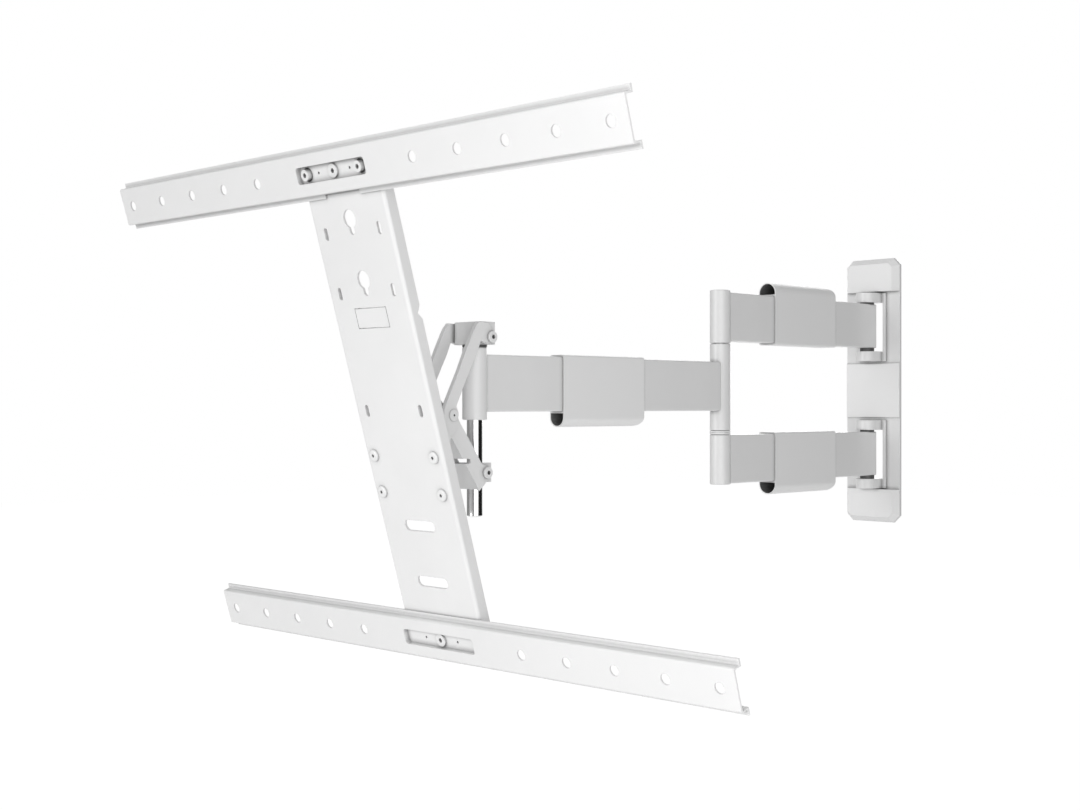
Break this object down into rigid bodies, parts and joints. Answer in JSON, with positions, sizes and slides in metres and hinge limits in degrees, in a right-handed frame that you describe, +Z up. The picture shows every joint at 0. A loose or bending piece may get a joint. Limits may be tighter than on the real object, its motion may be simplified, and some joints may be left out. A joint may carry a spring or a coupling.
{
  "type": "swivel tv wall mount",
  "caption": "Folding wall mount for a flat screen: slotted wall bracket, two rear arms, a forearm with cable sleeves, and a scissor tilt head carrying an upright plate with two hole-row rails.",
  "frame": {"origin": "middle of the wall plate's flat back face, on the wall surface", "axes": "+Y points into the wall, +Z is up, +X is to the right of someone facing the wall; the arms reach along -Y"},
  "size_m": [0.632, 0.7814, 0.4251],
  "materials": {
    "white_steel": "satin white powder coat",
    "white_moulding": "smooth white moulding",
    "pale_plastic": "pale bearing plastic",
    "plain_steel": "bright turned steel",
    "bright_chrome": "ground and chromed shaft"
  },
  "bodies": {
    "wall_bracket": {"wall_plate": "white_steel", "top_cap": "white_moulding", "bottom_cap": "white_moulding", "centre_cover": "white_moulding", "upper_pivot_bracket": "white_steel", "lower_pivot_bracket": "white_steel", "upper_wall_pin": "plain_steel", "lower_wall_pin": "plain_steel"},
    "rear_arms": {"upper_rear_arm": "white_steel", "lower_rear_arm": "white_steel", "upper_wall_bush": "pale_plastic", "lower_wall_bush": "pale_plastic", "upper_wall_washers": "pale_plastic", "lower_wall_washers": "pale_plastic", "upper_elbow_hub": "white_steel", "lower_elbow_hub": "white_steel", "elbow_pin": "plain_steel", "elbow_washers": "pale_plastic", "upper_arm_sleeve": "white_moulding", "lower_arm_sleeve": "white_moulding"},
    "forearm_arm": {"forearm": "white_steel", "forearm_hub": "white_steel", "head_column": "white_steel", "forearm_sleeve": "white_moulding"},
    "head": {"tilt_shaft": "bright_chrome", "top_block": "white_steel", "top_pivot_bolts": "white_steel", "column_washer": "pale_plastic"},
    "tilt_links": {"tilt_link_right": "white_steel", "tilt_link_left": "white_steel", "knee_rivets": "white_steel"},
    "support": {"support_link": "white_steel", "guide_rod": "plain_steel"},
    "slider": {"slider_block": "white_steel", "slider_bolts": "white_steel"},
    "screen": {"screen_plate": "white_steel", "plate_bracket_right": "white_steel", "plate_bracket_left": "white_steel", "bracket_screws": "white_steel", "slide_guide": "white_steel", "plate_pivot_rod": "plain_steel", "upper_rail": "white_steel", "lower_rail": "white_steel", "upper_rail_screws": "white_steel", "lower_rail_screw": "white_steel", "rail_nuts": "plain_steel"}
  },
  "joints": [
    {"name": "wall_swivel", "type": "hinge", "parent": "wall_bracket", "child": "rear_arms", "pos_m": [0, -0.0158, 0], "axis": [0, 0, 1], "range_deg": [-90, 90]},
    {"name": "elbow_swivel", "type": "hinge", "parent": "rear_arms", "child": "forearm_arm", "pos_m": [0, -0.284, 0], "axis": [0, 0, 1], "range_deg": [-165, 165]},
    {"name": "head_swivel", "type": "hinge", "parent": "forearm_arm", "child": "head", "pos_m": [0, -0.622, 0], "axis": [0, 0, 1], "range_deg": [-50, 50]},
    {"name": "tilt", "type": "hinge", "parent": "head", "child": "tilt_links", "pos_m": [0, -0.622, 0.0413], "axis": [1, 0, 0], "range_deg": [-2, 20]},
    {"name": "plate_hinge", "type": "hinge", "parent": "tilt_links", "child": "screen", "pos_m": [0, -0.69088, -0.06524], "axis": [1, 0, 0], "range_deg": [-31.3, 3.2]},
    {"name": "knee_hinge", "type": "hinge", "parent": "tilt_links", "child": "support", "pos_m": [0, -0.665, -0.02521], "axis": [1, 0, 0], "range_deg": [-45.7, 4.6]},
    {"name": "slider_hinge", "type": "hinge", "parent": "support", "child": "slider", "pos_m": [0, -0.622, -0.07443], "axis": [1, 0, 0], "range_deg": [-2.6, 25.7]}
  ],
  "couplings": [
    {"joint": "plate_hinge", "follows": "tilt", "ratio": -1.5601},
    {"joint": "knee_hinge", "follows": "tilt", "ratio": -2.2831},
    {"joint": "slider_hinge", "follows": "tilt", "ratio": 1.2831}
  ]
}
